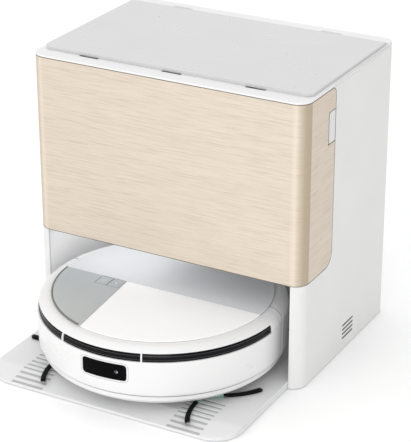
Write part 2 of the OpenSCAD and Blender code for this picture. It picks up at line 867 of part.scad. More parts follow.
// Suspension arm: a plate beside the wheel with a pivot pin and the wheel's axle.
module wheel_arm(side) color("dimgray") at_robot() {
  x = side * (wheel_x - wheel_w / 2 - 3.2);
  dy = wheel_y - arm_pivot[0];
  dz = axle_z - arm_pivot[1];
  length = norm([dy, dz]);
  translate([x - 2, arm_pivot[0], arm_pivot[1]]) rotate([atan2(dz, dy), 0, 0]) difference() {
    union() {
      translate([0, 0, -6]) cube([4, length, 12]);
      rotate([0, 90, 0]) cylinder(r = 7, h = 4);
      translate([0, length, 0]) rotate([0, 90, 0]) cylinder(r = 9, h = 4);
    }
    translate([-1, 0, 0]) rotate([0, 90, 0]) cylinder(r = 3.05, h = 6);
  }
  translate([side > 0 ? x : x - wheel_w - 3, wheel_y, axle_z])
    rotate([0, 90, 0])
      cylinder(r = 4, h = wheel_w + 3);
}

module wheel_hub(side) color("gray") at_robot()
  translate([side * wheel_x - wheel_w / 2, wheel_y, axle_z]) rotate([0, 90, 0]) difference() {
    cylinder(r = wheel_dia / 2 - 5, h = wheel_w);
    translate([0, 0, -1]) cylinder(r = 4.06, h = wheel_w + 2);
    for (a = [0:60:300]) rotate([0, 0, a]) translate([18, 0, -1]) cylinder(r = 5, h = wheel_w + 2);
  }

module tyre(side) color("black") at_robot()
  translate([side * wheel_x - wheel_w / 2, wheel_y, axle_z]) rotate([0, 90, 0]) {
    difference() {
      cylinder(r = wheel_dia / 2 - 1.5, h = wheel_w, $fn = 96);
      translate([0, 0, -1]) cylinder(r = wheel_dia / 2 - 5, h = wheel_w + 2);
    }
    for (a = [0:15:345])
      rotate([0, 0, a])
        translate([wheel_dia / 2 - 2.2, -2, 0.5])
          cube([2.1, 4, wheel_w - 1]);
  }

module left_wheel_arm() wheel_arm(-1);
module right_wheel_arm() wheel_arm(1);
module left_wheel() wheel_hub(-1);
module right_wheel() wheel_hub(1);
module left_tyre() tyre(-1);
module right_tyre() tyre(1);

// Swivel fork: a slotted drum with a cheek on each side of the wheel, and a stem on top.
module caster_fork() color("dimgray") at_robot() translate([0, caster_y, 0]) {
  difference() {
    union() {
      translate([0, 0, 29]) cylinder(r = 20, h = 18);
      for (side = [-1, 1])
        translate([side * 9.8 - 1.8, caster_trail - 6, caster_z - 5])
          cube([3.6, 12, 12]);
    }
    translate([-8, -14, 20]) cube([16, 40, 24]);
    translate([-20, caster_trail, caster_z]) rotate([0, 90, 0]) cylinder(r = 2.05, h = 40);
  }
  translate([0, 0, 46.5]) cylinder(r = 4, h = 11);
}

module caster_wheel() color("black") at_robot()
  translate([0, caster_y + caster_trail, caster_z]) rotate([0, 90, 0]) {
    translate([0, 0, -6.5]) cylinder(r = caster_r, h = 13);
    translate([0, 0, -11]) cylinder(r = 2, h = 22);
  }

housing_shell();
front_frame();
top_deck();
bay_liner();
ramp_tray();
wash_tray();
base_pan();
floor_pads();
rear_panel();
clean_tank();
dirty_tank();
tank_caps();
dust_bag();
dust_bag_collar();
suction_housing();
evac_duct();
dock_board();
power_inlet();
charge_contacts();
hinge_pins();
lid();
wood_front();
fabric_tag();
dock_impeller();
robot_chassis();
robot_rear_shell();
rear_cover();
white_panel();
grey_panel();
robot_board();
battery();
dust_bin();
fan_housing();
robot_impeller();
brush_guard();
side_brush_motors();
mop_gearboxes();
water_reservoir();
robot_contacts();
bumper();
sensor_band();
camera_window();
camera_module();
power_button();
home_button();
left_wheel_arm();
right_wheel_arm();
left_wheel();
right_wheel();
left_tyre();
right_tyre();
caster_fork();
caster_wheel();
main_brush();
left_side_brush();
right_side_brush();
left_mop_plate();
right_mop_plate();
left_mop_pad();
right_mop_pad();
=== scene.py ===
"""Looks of a robot vacuum parked in its wood-fronted cleaning station."""
import json
import math
import random

import bmesh
import bpy
import numpy as np
from mathutils import Matrix, Vector

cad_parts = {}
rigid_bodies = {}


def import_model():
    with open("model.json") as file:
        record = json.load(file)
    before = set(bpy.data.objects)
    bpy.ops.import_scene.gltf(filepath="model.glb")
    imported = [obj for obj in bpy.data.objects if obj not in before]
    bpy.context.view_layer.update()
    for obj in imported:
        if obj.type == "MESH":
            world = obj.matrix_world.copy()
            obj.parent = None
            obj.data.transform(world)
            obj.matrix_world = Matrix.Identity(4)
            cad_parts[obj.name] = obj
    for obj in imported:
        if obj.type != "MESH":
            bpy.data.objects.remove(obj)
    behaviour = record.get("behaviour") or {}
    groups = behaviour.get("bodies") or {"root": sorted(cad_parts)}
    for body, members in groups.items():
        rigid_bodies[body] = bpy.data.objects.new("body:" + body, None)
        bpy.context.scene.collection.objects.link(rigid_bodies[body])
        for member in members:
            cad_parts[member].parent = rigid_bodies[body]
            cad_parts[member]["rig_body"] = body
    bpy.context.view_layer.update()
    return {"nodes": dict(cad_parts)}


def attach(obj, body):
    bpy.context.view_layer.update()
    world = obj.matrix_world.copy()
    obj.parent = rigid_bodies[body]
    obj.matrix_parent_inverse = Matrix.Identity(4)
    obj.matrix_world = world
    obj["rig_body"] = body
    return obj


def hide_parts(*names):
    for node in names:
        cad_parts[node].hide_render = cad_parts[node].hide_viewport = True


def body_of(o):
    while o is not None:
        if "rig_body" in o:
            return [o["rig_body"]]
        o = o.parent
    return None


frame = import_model()
NODES = frame["nodes"]
MM = 0.001

# The station, in millimetres: the front and back planes and half the width.
FRONT_Y = -51.5
BACK_Y = 232.5
HALF_W = 211


# ---------- camera ----------

CAMERA_AT = (1.1068, -1.9363, 1.2098)
CAMERA_AZIMUTH = 28.65
CAMERA_ELEVATION = 24.87


def make_camera():
    data = bpy.data.cameras.new("camera")
    data.lens = 142.8
    data.shift_x = -0.0188
    data.shift_y = 0.0223
    data.clip_start = 0.1
    camera = bpy.data.objects.new("camera", data)
    camera.location = CAMERA_AT
    camera.rotation_euler = (math.radians(90 - CAMERA_ELEVATION), 0, math.radians(CAMERA_AZIMUTH))
    bpy.context.scene.collection.objects.link(camera)
    bpy.context.scene.camera = camera


make_camera()


# ---------- material helpers ----------

class Shader:
    """A Principled material with the few node patterns that this scene uses."""

    def __init__(self, name, **sockets):
        self.material = bpy.data.materials.new(name)
        self.material.use_nodes = True
        self.tree = self.material.node_tree
        self.tree.nodes.clear()
        output = self.tree.nodes.new("ShaderNodeOutputMaterial")
        self.bsdf = self.tree.nodes.new("ShaderNodeBsdfPrincipled")
        self.tree.links.new(self.bsdf.outputs[0], output.inputs[0])
        self.coords = self.tree.nodes.new("ShaderNodeTexCoord").outputs["Object"]
        for socket, value in sockets.items():
            self.set(socket.replace("_", " "), value)

    def set(self, socket, value):
        self.bsdf.inputs[socket].default_value = value

    def link(self, output, socket):
        self.tree.links.new(output, self.bsdf.inputs[socket])

    def node(self, kind, **values):
        made = self.tree.nodes.new(kind)
        for key, value in values.items():
            setattr(made, key, value)
        return made

    def stretched(self, scale, turn=(0, 0, 0)):
        mapping = self.node("ShaderNodeMapping")
        mapping.inputs["Scale"].default_value = scale
        mapping.inputs["Rotation"].default_value = turn
        self.tree.links.new(self.coords, mapping.inputs["Vector"])
        return mapping.outputs["Vector"]

    def noise(self, scale, detail=4.0, coords=None, roughness=0.55, distortion=0.0):
        made = self.node("ShaderNodeTexNoise")
        made.inputs["Scale"].default_value = scale
        made.inputs["Detail"].default_value = detail
        made.inputs["Roughness"].default_value = roughness
        made.inputs["Distortion"].default_value = distortion
        self.tree.links.new(coords or self.coords, made.inputs["Vector"])
        return made.outputs["Fac"]

    def cells(self, scale, coords=None, feature="F1"):
        made = self.node("ShaderNodeTexVoronoi", feature=feature)
        made.inputs["Scale"].default_value = scale
        self.tree.links.new(coords or self.coords, made.inputs["Vector"])
        return made.outputs["Distance"]

    def waves(self, scale, direction, coords=None):
        made = self.node("ShaderNodeTexWave", bands_direction=direction)
        made.inputs["Scale"].default_value = scale
        made.inputs["Distortion"].default_value = 0.4
        self.tree.links.new(coords or self.coords, made.inputs["Vector"])
        return made.outputs["Fac"]

    def math(self, operation, a, b):
        made = self.node("ShaderNodeMath", operation=operation)
        for place, value in enumerate((a, b)):
            if isinstance(value, (int, float)):
                made.inputs[place].default_value = value
            else:
                self.tree.links.new(value, made.inputs[place])
        return made.outputs[0]

    def ramp(self, factor, stops):
        made = self.node("ShaderNodeValToRGB")
        elements = made.color_ramp.elements
        while len(elements) < len(stops):
            elements.new(0.5)
        for element, (place, color) in zip(elements, stops):
            element.position = place
            element.color = (*color, 1)
        self.tree.links.new(factor, made.inputs["Fac"])
        return made.outputs["Color"]

    def spread(self, factor, low, high):
        """The factor's usual 0.3 to 0.7 stretched to a range of values."""
        made = self.node("ShaderNodeMapRange")
        made.inputs["From Min"].default_value = 0.3
        made.inputs["From Max"].default_value = 0.7
        made.inputs["To Min"].default_value = low
        made.inputs["To Max"].default_value = high
        self.tree.links.new(factor, made.inputs["Value"])
        return made.outputs[0]

    def mix(self, factor, a, b):
        made = self.node("ShaderNodeMix", data_type="RGBA")
        for socket, value in (("Factor", factor), ("A", a), ("B", b)):
            target = next(i for i in made.inputs if i.name == socket and i.enabled)
            if isinstance(value, tuple):
                target.default_value = (*value, 1)
            elif isinstance(value, float):
                target.default_value = value
            else:
                self.tree.links.new(value, target)
        return next(o for o in made.outputs if o.enabled)

    def bump(self, *layers):
        """Layers are (height, depth in metres), coarse first."""
        normal = None
        for height, depth in layers:
            made = self.node("ShaderNodeBump")
            made.inputs["Strength"].default_value = 1.0
            made.inputs["Distance"].default_value = depth
            self.tree.links.new(height, made.inputs["Height"])
            if normal:
                self.tree.links.new(normal, made.inputs["Normal"])
            normal = made.outputs["Normal"]
        self.link(normal, "Normal")


def shade(color, amount):
    return tuple(min(1.0, max(0.0, c * amount)) for c in color)


def plastic(name, color, rough, grain=0.7, depth=0.02, waviness=0.01, mottle=0.015, **sockets):
    """Moulded plastic: fine spark-eroded grain, faint flow mottling and slightly glossier patches."""
    s = Shader(name, **sockets)
    fine = s.noise(1 / (grain * MM), 3)
    broad = s.noise(9, 3)
    s.link(s.ramp(broad, [(0.3, shade(color, 1 - mottle)), (0.7, shade(color, 1 + mottle))]), "Base Color")
    s.link(s.spread(s.noise(26, 4), rough * 0.86, rough * 1.14), "Roughness")
    s.bump((broad, waviness * MM * 20), (fine, depth * MM))
    return s.material


# ---------- materials ----------

WHITE = (0.755, 0.755, 0.75)
MATERIALS = {}


def corner_painted_shade_and_highlight(s):
    """How strongly the upright front corners get painted shade and a painted highlight: a pale band where
    the front starts to turn, then a darker tan band towards the side.
    """
    parts = s.node("ShaderNodeSeparateXYZ")
    s.tree.links.new(s.coords, parts.inputs[0])
    across = s.math("SUBTRACT", s.math("ABSOLUTE", parts.outputs["X"], 0), 190 * MM)
    back = s.math("SUBTRACT", -30.5 * MM, parts.outputs["Y"])
    turn = s.math("ARCTAN2", s.math("MAXIMUM", across, 0), s.math("MAXIMUM", back, 0))
    # Painted shade: darker tan towards the side of each corner.
    dark = s.ramp(turn, [(0.42, (0, 0, 0)), (0.62, (0.45, 0.45, 0.45)), (0.95, (1, 1, 1))])
    # Painted highlight: a pale band where the front starts to turn.
    light = s.ramp(turn, [(0.0, (0, 0, 0)), (0.30, (1, 1, 1)), (0.48, (0, 0, 0))])
    side = s.math("LESS_THAN", parts.outputs["Y"], -32.5 * MM)
    return s.math("MULTIPLY", dark, side), s.math("MULTIPLY", light, side)


def wood():
    """Pale oiled veneer: long fine streaks that run level round the corners, soft bands and short pores."""
    s = Shader("pale_wood_veneer", Specular_IOR_Level=0.35)
    streaks = s.noise(1, 5, s.stretched((15, 15, 780)), 0.68, 0.2)
    bands = s.noise(1, 4, s.stretched((2.4, 2.4, 70)), 0.6, 0.6)
    pores = s.noise(1, 2, s.stretched((24, 24, 1150)), 0.5)
    pale, mid, tan = (0.685, 0.60, 0.50), (0.57, 0.475, 0.375), (0.42, 0.335, 0.24)
    grain = s.ramp(streaks, [(0.30, mid), (0.47, pale), (0.60, shade(pale, 1.02)), (0.75, mid)])
    grain = s.mix(s.math("MULTIPLY", s.spread(bands, 0.0, 1.0), 0.22), grain, mid)
    dark = s.ramp(pores, [(0.52, (0, 0, 0)), (0.68, (1, 1, 1))])
    grain = s.mix(s.math("MULTIPLY", dark, 0.38), grain, tan)
    # The upright front corners get a painted highlight, then painted shade in darker tan.
    painted_corner_shade, painted_corner_highlight = corner_painted_shade_and_highlight(s)
    grain = s.mix(s.math("MULTIPLY", painted_corner_highlight, 0.6), grain, shade(pale, 1.12))
    s.link(s.mix(s.math("MULTIPLY", painted_corner_shade, 0.85), grain, tan), "Base Color")
    s.link(s.spread(streaks, 0.52, 0.40), "Roughness")
    s.bump((bands, 0.05 * MM), (streaks, 0.05 * MM), (pores, 0.02 * MM))
    return s.material


def brushed(name, color, rough):
    s = Shader(name, Metallic=1.0)
    lines = s.noise(1, 3, s.stretched((3000, 60, 3000)))
    s.link(s.ramp(lines, [(0.3, shade(color, 0.9)), (0.7, color)]), "Base Color")
    s.link(s.spread(lines, rough * 0.8, rough * 1.2), "Roughness")
    s.bump((lines, 0.01 * MM))
    return s.material


def rubber(name, color, rough=0.75):
    s = Shader(name, Specular_IOR_Level=0.3)
    fine = s.noise(1800, 3)
    dust = s.noise(60, 5)
    s.link(s.ramp(dust, [(0.35, color), (0.75, shade(color, 1.9))]), "Base Color")
    s.link(s.spread(dust, rough * 0.9, min(1.0, rough * 1.2)), "Roughness")
    s.bump((dust, 0.03 * MM), (fine, 0.04 * MM))
    return s.material


def woven(name, color, thread=0.5, sheen=0.3):
    """Plain weave: two sets of threads that pass over and under each other."""
    s = Shader(name, Roughness=0.92, Sheen_Weight=sheen, Sheen_Roughness=0.5, Specular_IOR_Level=0.2)
    scale = math.pi / (thread * MM) / 6.2832
    warp = s.waves(scale, "Y")
    weft = s.waves(scale, "Z")
    weave = s.math("MAXIMUM", warp, weft)
    fuzz = s.noise(2500, 4)
    s.link(s.ramp(s.math("MULTIPLY", weave, s.spread(fuzz, 0.8, 1.0)),
                  [(0.1, shade(color, 0.8)), (0.8, color)]), "Base Color")
    s.bump((weave, 0.12 * MM), (fuzz, 0.05 * MM))
    return s.material


def pile(name, color):
    """Looped microfibre: small round tufts with a soft sheen."""
    s = Shader(name, Roughness=0.95, Sheen_Weight=0.5, Sheen_Roughness=0.6, Specular_IOR_Level=0.15)
    tufts = s.cells(620)
    tone = s.noise(40, 4)
    s.link(s.mix(s.spread(tone, 0.0, 0.6), s.ramp(tufts, [(0.0, color), (0.55, shade(color, 0.45))]),
                 shade(color, 0.85)), "Base Color")
    s.bump((tone, 0.4 * MM), (s.math("SUBTRACT", 1.0, tufts), 0.5 * MM))
    return s.material


def circuit_board():
    """Solder mask with raised tracks and pads."""
    s = Shader("circuit_board", Roughness=0.35, Coat_Weight=0.3)
    tracks = s.node("ShaderNodeTexBrick")
    tracks.inputs["Scale"].default_value = 120
    tracks.inputs["Mortar Size"].default_value = 0.03
    tracks.inputs["Color1"].default_value = (0.012, 0.12, 0.05, 1)
    tracks.inputs["Color2"].default_value = (0.01, 0.10, 0.045, 1)
    tracks.inputs["Mortar"].default_value = (0.03, 0.26, 0.11, 1)
    s.tree.links.new(s.coords, tracks.inputs["Vector"])
    pads = s.ramp(s.cells(260), [(0.06, (0.75, 0.62, 0.35)), (0.09, (0.0, 0.0, 0.0))])
    light = s.ramp(s.cells(260), [(0.06, (1, 1, 1)), (0.09, (0, 0, 0))])
    s.link(s.mix(light, tracks.outputs["Color"], pads), "Base Color")
    s.bump((tracks.outputs["Fac"], 0.05 * MM))
    return s.material


def paper():
    """Non-woven bag paper: matted fibres."""
    s = Shader("bag_paper", Roughness=0.9, Sheen_Weight=0.15, Specular_IOR_Level=0.2)
    fibres = s.noise(1, 6, s.stretched((420, 160, 260)), 0.7, 1.6)
    s.link(s.ramp(fibres, [(0.3, (0.60, 0.56, 0.49)), (0.7, (0.80, 0.77, 0.70))]), "Base Color")
    s.bump((s.noise(35, 4), 0.5 * MM), (fibres, 0.12 * MM))
    return s.material


def clear(name, color, rough=0.08, amount=0.75):
    """Clear moulded tank wall with faint flow lines."""
    s = Shader(name, Transmission_Weight=amount, IOR=1.45)
    flow = s.noise(1, 4, s.stretched((14, 14, 40)), 0.6, 1.0)
    s.link(s.ramp(flow, [(0.3, shade(color, 0.93)), (0.7, color)]), "Base Color")
    s.link(s.spread(flow, rough * 0.7, rough * 1.6), "Roughness")
    s.bump((flow, 0.1 * MM))
    return s.material


def make_materials():
    made = {
        "shell": plastic("shell_white", WHITE, 0.42, 0.9, 0.018),
        "deck": plastic("deck_white", (0.80, 0.80, 0.80), 0.42, 0.9, 0.012),
        "lid": plastic("lid_white", (0.64, 0.64, 0.64), 0.30, 0.8, 0.006, 0.0),
        "robot": plastic("robot_white", (0.77, 0.77, 0.77), 0.30, 0.8, 0.004,
                         Coat_Weight=0.2, Coat_Roughness=0.12),
        "plate": plastic("plate_white", (0.93, 0.94, 0.95), 0.42, 0.8, 0.004, Specular_IOR_Level=0.3),
        "cover": plastic("cover_white", (0.68, 0.69, 0.705), 0.42, 0.8, 0.004, Specular_IOR_Level=0.3),
        "panel": plastic("panel_grey", (0.49, 0.525, 0.545), 0.34, 0.35, 0.006, mottle=0.03, Metallic=0.2),
        "trim": plastic("trim_grey", (0.20, 0.205, 0.21), 0.25, 0.6, 0.005, Metallic=0.5),
        "ramp": plastic("ramp_grey", (0.74, 0.74, 0.745), 0.5, 1.0, 0.03),
        "light": plastic("liner_white", (0.90, 0.90, 0.905), 0.5, 0.9, 0.03),
        "mid": plastic("mid_grey", (0.36, 0.37, 0.38), 0.5, 0.9, 0.03),
        "dark": plastic("dark_plastic", (0.035, 0.037, 0.04), 0.48, 0.8, 0.03, mottle=0.1),
        "black": plastic("black_gloss", (0.002, 0.002, 0.0025), 0.22, 0.8, 0.002, mottle=0.2,
                         Specular_IOR_Level=0.04),
        "slit": plastic("slot_black", (0.004, 0.004, 0.005), 0.16, 1.5, 0.004, mottle=0.3,
                        Specular_IOR_Level=0.12),
        "green": plastic("green_plastic", (0.05, 0.21, 0.15), 0.4, 0.8, 0.02, mottle=0.05),
        "wrap": plastic("battery_wrap", (0.02, 0.05, 0.20), 0.3, 2.5, 0.05, mottle=0.1),
        "bristle": plastic("bristle_black", (0.005, 0.005, 0.006), 0.45, 0.5, 0.01, mottle=0.3,
                           Specular_IOR_Level=0.15),
        "mint": plastic("mint_plastic", (0.20, 0.42, 0.33), 0.4, 0.8, 0.02, mottle=0.05),
        "grip": plastic("grip_grey", (0.45, 0.45, 0.455), 0.7, 0.6, 0.05, mottle=0.06),
        # Dark tubes in the gap round the front cover: painted shadow.
        "gap_shadow": plastic("gap_shadow_brown", (0.12, 0.10, 0.085), 0.6, 0.6, 0.01, mottle=0.05),
        # Grey for the finger notches and the strip round the window: painted shade.
        "gap_shade": plastic("gap_shade_grey", (0.30, 0.30, 0.305), 0.5, 0.8, 0.01, mottle=0.05),
        "wood": wood(),
        "steel": brushed("ground_steel", (0.62, 0.62, 0.63), 0.28),
        "gold": brushed("contact_metal", (0.80, 0.62, 0.30), 0.25),
        "tyre": rubber("tyre_rubber", (0.012, 0.012, 0.012)),
        "foot": rubber("foot_rubber", (0.07, 0.07, 0.07)),
        "tag": woven("woven_tag", (0.88, 0.88, 0.87)),
        # Dark woven strips round the label's edges: painted shadow.
        "tag_shadow": woven("woven_tag_shadow", (0.02, 0.02, 0.02)),
        "mop": pile("mop_pile", (0.42, 0.42, 0.45)),
        "board": circuit_board(),
        "paper": paper(),
        "water": clear("tank_clear", (0.80, 0.88, 0.92)),
        "smoke": clear("tank_smoke", (0.66, 0.68, 0.70), 0.12, 0.55),
        "bin": clear("bin_tinted", (0.45, 0.52, 0.60), 0.12),
        "icon": plastic("icon_white", (0.85, 0.86, 0.86), 0.3, 0.5, 0.01),
        "icon_dim": plastic("icon_grey", (0.66, 0.68, 0.69), 0.3, 0.5, 0.01),
        "glass": plastic("lens_glass", (0.01, 0.012, 0.02), 0.04, 0.8, 0.001,
                         Coat_Weight=1.0, Coat_Roughness=0.0),
    }
    MATERIALS.update(made)


make_materials()

# Which material each CAD node gets, and how far its edges are rounded, in millimetres.
FINISH = {
    "housing_shell": ("shell", 0.7), "front_frame": ("light", 0), "top_deck": ("deck", 1.0),
    "bay_liner": ("light", 0.5), "ramp_tray": ("ramp", 0.5), "wash_tray": ("mid", 0.3),
    "base_pan": ("mid", 0.6), "floor_pads": ("foot", 0.2), "rear_panel": ("shell", 0.4),
    "clean_tank": ("water", 0.6), "dirty_tank": ("smoke", 0.6), "tank_caps": ("light", 0.9),
    "dust_bag_collar": ("green", 0.6), "suction_housing": ("dark", 0.8), "evac_duct": ("mid", 0),
    "dock_board": ("board", 0.15), "power_inlet": ("dark", 0.3), "charge_contacts": ("gold", 0.3),
    "hinge_pins": ("steel", 0), "lid": ("lid", 1.1), "wood_front": ("wood", 0.8),
    "dock_impeller": ("mid", 0.15), "robot_chassis": ("robot", 0.4), "robot_rear_shell": ("robot", 0.4),
    "rear_cover": ("cover", 0.35), "white_panel": ("plate", 0.35), "grey_panel": ("panel", 0.3),
    "robot_board": ("board", 0.15), "battery": ("wrap", 1.5), "dust_bin": ("bin", 0.6),
    "fan_housing": ("dark", 0.8), "robot_impeller": ("mid", 0.1), "brush_guard": ("mid", 0.6),
    "side_brush_motors": ("dark", 0.6), "mop_gearboxes": ("dark", 0.8), "water_reservoir": ("water", 0.6),
    "robot_contacts": ("gold", 0.3), "bumper": ("robot", 0.4), "sensor_band": ("slit", 0.2),
    "camera_window": ("black", 0.25), "camera_module": ("dark", 0.4), "power_button": ("panel", 0.25),
    "home_button": ("panel", 0.25), "left_wheel_arm": ("dark", 0.4), "right_wheel_arm": ("dark", 0.4),
    "left_wheel": ("mid", 0.5), "right_wheel": ("mid", 0.5), "left_tyre": ("tyre", 0.3),
    "right_tyre": ("tyre", 0.3), "caster_fork": ("dark", 0.4), "caster_wheel": ("dark", 0.8),
    "left_mop_plate": ("shell", 0.5), "right_mop_plate": ("shell", 0.5),
}


def free_edges(bm, width):
    """The sharp edges with room for a rounding: nothing short beside them and no other edge close by."""
    sharp = {e for e in bm.edges if len(e.link_faces) == 2 and e.calc_face_angle(0) > math.radians(40)}
    corners = {v for e in sharp for v in e.verts}
    tight = {v for v in corners for e in v.link_edges if e not in sharp and e.calc_length() < 1.4 * width}
    chosen = {e for e in sharp if not tight.intersection(e.verts)}
    for face in bm.faces:
        edges = [e for e in face.edges if e in sharp]
        if len(edges) < 2:
            continue
        start = np.array([e.verts[0].co for e in edges])
        line = np.array([e.verts[1].co for e in edges]) - start
        middle = start + line / 2
        square = np.maximum((line * line).sum(1), 1e-18)
        along = np.clip(((middle[:, None] - start) * line).sum(2) / square, 0, 1)
        gap = np.linalg.norm(middle[:, None] - start - along[..., None] * line, axis=2)
        joined = np.array([[bool(set(e.verts) & set(f.verts)) for f in edges] for e in edges])
        close = ((gap < 2.4 * width) & ~joined).any(1)
        chosen.difference_update(e for e, c in zip(edges, close) if c)
    return chosen


def finished(name, finish, width):
    """A piece that stands for a CAD node: its mesh with merged flat faces and rounded edges."""
    node = NODES[name]
    bm = bmesh.new()
    bm.from_mesh(node.data)
    bmesh.ops.remove_doubles(bm, verts=bm.verts, dist=0.00001)
    bmesh.ops.dissolve_limit(bm, angle_limit=math.radians(0.4), verts=bm.verts, edges=bm.edges)
    for round_width in (width * MM, width * MM / 3):
        edges = sorted(free_edges(bm, round_width), key=lambda e: e.index)
        if edges:
            bmesh.ops.bevel(bm, geom=edges, offset=round_width, segments=3, profile=0.5, affect="EDGES",
                            clamp_overlap=False)
    mesh = bpy.data.meshes.new(name + "_rounded")
    bm.to_mesh(mesh)
    bm.free()
    mesh.materials.append(MATERIALS[finish])
    mesh.shade_smooth()
    mesh.set_sharp_from_angle(angle=math.radians(38))
    piece = bpy.data.objects.new("rounded_" + name, mesh)
    bpy.context.scene.collection.objects.link(piece)
    normals = piece.modifiers.new("normals", "WEIGHTED_NORMAL")
    normals.keep_sharp = True
    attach(piece, body_of(node)[0])
    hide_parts(name)
    return piece


for name, (finish, width) in FINISH.items():
    if width:
        finished(name, finish, width)
    else:
        NODES[name].material_slots[0].material = MATERIALS[finish]


# ---------- mesh helpers ----------

def add_piece(name, mesh, body, finish, replaced=()):
    piece = bpy.data.objects.new(name, mesh)
    bpy.context.scene.collection.objects.link(piece)
    if not mesh.materials:
        mesh.materials.append(MATERIALS[finish])
    for polygon in mesh.polygons:
        polygon.use_smooth = True
    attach(piece, body)
    if replaced:
        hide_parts(*replaced)
    return piece


def mesh_from(name, build):
    """Runs build(bm) on an empty bmesh and returns the mesh."""
    bm = bmesh.new()
    build(bm)
    bmesh.ops.recalc_face_normals(bm, faces=bm.faces)
    mesh = bpy.data.meshes.new(name)
    bm.to_mesh(mesh)
    bm.free()
    return mesh


def tube(bm, points, radii, sides=6):
    """A closed tube along points, with a radius at each."""
    rings = []
    for i, point in enumerate(points):
        ahead = points[min(i + 1, len(points) - 1)] - points[max(i - 1, 0)]
        turn, r = ahead.to_track_quat("Z", "Y"), radii[i]
        rings.append([bm.verts.new(point + turn @ Vector((math.cos(a) * r, math.sin(a) * r, 0)))
                      for a in (2 * math.pi * k / sides for k in range(sides))])
    for low, high in zip(rings, rings[1:]):
        for k in range(sides):
            bm.faces.new((low[k], low[(k + 1) % sides], high[(k + 1) % sides], high[k]))
    bm.faces.new(rings[0][::-1])
    bm.faces.new(rings[-1])


def lathe(bm, profile, center, steps=72):
    """Turns (radius, height) points about +Z through center; a radius of 0 closes the shape."""
    rings = []
    angles = [2 * math.pi * k / steps for k in range(steps)]
    for radius, height in profile:
        if radius == 0:
            rings.append([bm.verts.new(center + Vector((0, 0, height)))])
        else:
            ring = [Vector((radius * math.cos(a), radius * math.sin(a), height)) for a in angles]
            rings.append([bm.verts.new(center + point) for point in ring])
    for low, high in zip(rings, rings[1:]):
        for k in range(steps):
            a, b = low[k % len(low)], low[(k + 1) % len(low)]
            c, d = high[(k + 1) % len(high)], high[k % len(high)]
            corners = [v for i, v in enumerate((a, b, c, d)) if v not in (a, b, c, d)[:i]]
            bm.faces.new(corners)


def in_metres(profile):
    return [(radius * MM, height * MM) for radius, height in profile]


# ---------- robot details ----------

ROBOT_Y = -57.5
ROBOT = Vector((0, ROBOT_Y, 0)) * MM
ROBOT_TOP = 112 * MM


def on_robot(angle, radius, z):
    """A point round the robot: degrees from straight ahead towards +X, and a radius from its middle."""
    a = math.radians(angle)
    return ROBOT + Vector((radius * math.sin(a), -radius * math.cos(a), z))


def make_side_brush(name, body, hub, turn):
    """Three bowed tufts of bristles that leave a small green hub."""
    rng = random.Random(name)
    center = ROBOT + Vector((hub, -82 * MM, 0))
    reach, bow, low, high = 78, 8, 12.8, 16.7
    per_arm, spans, start, root = 110, 12, 22, 1.9
    bend = (reach * reach / 4 + bow * bow) / (2 * bow)

    def on_arm(along, out, z):
        """A point along an arm, out from its middle line, in millimetres."""
        y = bend - bow - math.sqrt(bend * bend - (along - reach / 2) ** 2)
        slope = (along - reach / 2) / math.sqrt(bend * bend - (along - reach / 2) ** 2)
        return Vector((along - out * slope, y + out, z)) * MM

    def bristles(bm):
        for arm in range(3):
            spin = Matrix.Rotation(math.radians(turn + arm * 120), 3, "Z")
            for _ in range(per_arm):
                side, height = rng.uniform(-1, 1), rng.uniform(low, high)
                flare, end = side * rng.uniform(2.6, 3.4), rng.uniform(reach - 4.0, reach - 1.4)
                steps = [start + (end - start) * i / spans for i in range(spans + 1)]
                points = [center + spin @ on_arm(t, side * root + (flare - side * root) * i / spans, height)
                          for i, t in enumerate(steps)]
                tube(bm, points, [0.32 * MM] * spans + [0.18 * MM], 5)

    def roots(bm):
        for arm in range(3):
            spin = Matrix.Rotation(math.radians(turn + arm * 120), 3, "Z")
            points = [center + spin @ on_arm(t, 0, 14.5) for t in (7, 12, 17, 22, 26, 27.5)]
            tube(bm, points, [2.4 * MM, 2.2 * MM, 2.0 * MM, 1.9 * MM, 1.8 * MM, 1.2 * MM], 16)
        hub_profile = [(0, 13.1), (7.6, 13.1), (8.6, 13.6), (9, 14.6), (8.7, 17), (7.8, 18.1), (5.2, 18.3),
                       (5, 34), (2.5, 34.2), (2.5, 48.2), (0, 48.4)]
        screw_profile = [(0, 12.9), (2.6, 12.9), (2.9, 13.3), (0, 13.35)]
        lathe(bm, in_metres(hub_profile), center)
        lathe(bm, in_metres(screw_profile), center, 24)

    add_piece(name + "_bristles", mesh_from(name + "_bristles", bristles), body, "bristle")
    hub_piece = add_piece(name + "_hub", mesh_from(name + "_hub", roots), body, "mint", (name,))
    hub_piece.data.set_sharp_from_angle(angle=math.radians(40))


make_side_brush("left_side_brush", "left_sweeper", -114 * MM, -79)
make_side_brush("right_side_brush", "right_sweeper", 114 * MM, -80)


def make_mop_pad(name, body, x):
    """Looped cloth pad: a soft disc with rolled edge, dimples and a stitched ring."""
    center = ROBOT + Vector((x, 88 * MM, 12.4 * MM))
    rng = random.Random(name)
    profile = [(0, 0), (12, 0.0), (24, 0.05), (36, 0.0), (44, 0.15), (46, 0.7), (48, 0.15), (53, 0.05),
               (56, 0.5), (57.5, 1.7), (57.9, 3.0), (57.3, 4.4), (55.6, 5.4), (52, 5.75), (0, 5.78)]
    mesh = mesh_from(name, lambda bm: lathe(bm, in_metres(profile), center, 144))
    for vertex in mesh.vertices:
        if vertex.co.z < center.z + 5 * MM:
            vertex.co.z += rng.uniform(0, 0.25) * MM
    pad = add_piece(name + "_cloth", mesh, body, "mop", (name,))


make_mop_pad("left_mop_pad", "left_mop", -62 * MM)
make_mop_pad("right_mop_pad", "right_mop", 62 * MM)


